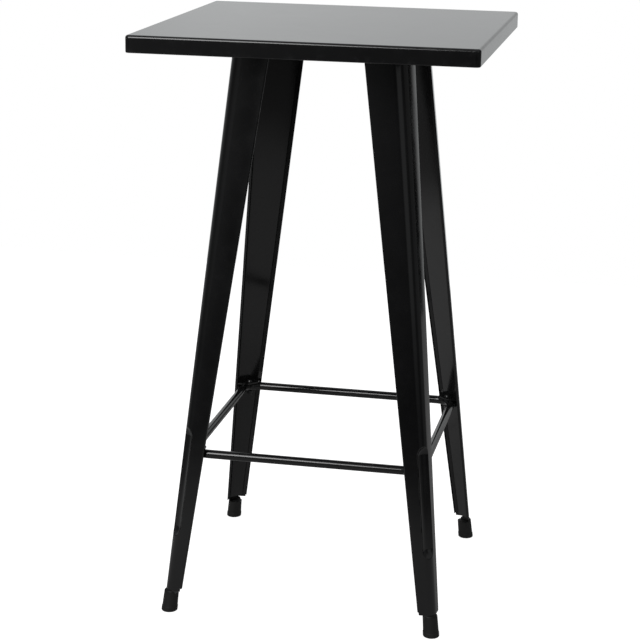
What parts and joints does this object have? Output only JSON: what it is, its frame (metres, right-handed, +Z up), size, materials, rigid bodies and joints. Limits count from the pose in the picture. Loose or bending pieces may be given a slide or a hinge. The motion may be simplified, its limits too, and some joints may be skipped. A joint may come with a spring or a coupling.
{
  "type": "pub table",
  "caption": "Tall square black metal bar table with a pressed steel top, splayed tapering sheet steel legs, a bent tube footrest ring and moulded feet.",
  "frame": {"origin": "on the floor under the middle of the top", "axes": "+Z up, +X to the table's right seen from the front, +Y to the back"},
  "size_m": [0.6, 0.6, 1.06],
  "materials": {
    "top_paint": "gloss powder coat",
    "leg_paint": "gloss powder coat",
    "footrest_paint": "gloss powder coat",
    "brace_paint": "satin powder coat",
    "foot_rubber": "matte",
    "zinc_steel": "zinc plated",
    "black_steel": "black zinc, satin"
  },
  "bodies": {
    "root": {"tabletop_pan": "top_paint", "brace_long": "brace_paint", "brace_short_back_left": "brace_paint", "brace_short_front_right": "brace_paint", "leg_back_right": "leg_paint", "leg_cover_upper_back_right": "leg_paint", "leg_cover_lower_back_right": "leg_paint", "leg_plate_back_right": "brace_paint", "footrest_gusset_back_right": "leg_paint", "foot_back_right": "foot_rubber", "leg_back_left": "leg_paint", "leg_cover_upper_back_left": "leg_paint", "leg_cover_lower_back_left": "leg_paint", "leg_plate_back_left": "brace_paint", "footrest_gusset_back_left": "leg_paint", "foot_back_left": "foot_rubber", "leg_front_left": "leg_paint", "leg_cover_upper_front_left": "leg_paint", "leg_cover_lower_front_left": "leg_paint", "leg_plate_front_left": "brace_paint", "footrest_gusset_front_left": "leg_paint", "foot_front_left": "foot_rubber", "leg_front_right": "leg_paint", "leg_cover_upper_front_right": "leg_paint", "leg_cover_lower_front_right": "leg_paint", "leg_plate_front_right": "brace_paint", "footrest_gusset_front_right": "leg_paint", "foot_front_right": "foot_rubber", "footrest_ring": "footrest_paint", "leg_bolts": "zinc_steel", "leg_washers": "zinc_steel", "brace_nuts": "zinc_steel", "footrest_bolts": "black_steel", "footrest_nuts": "black_steel"}
  },
  "joints": []
}
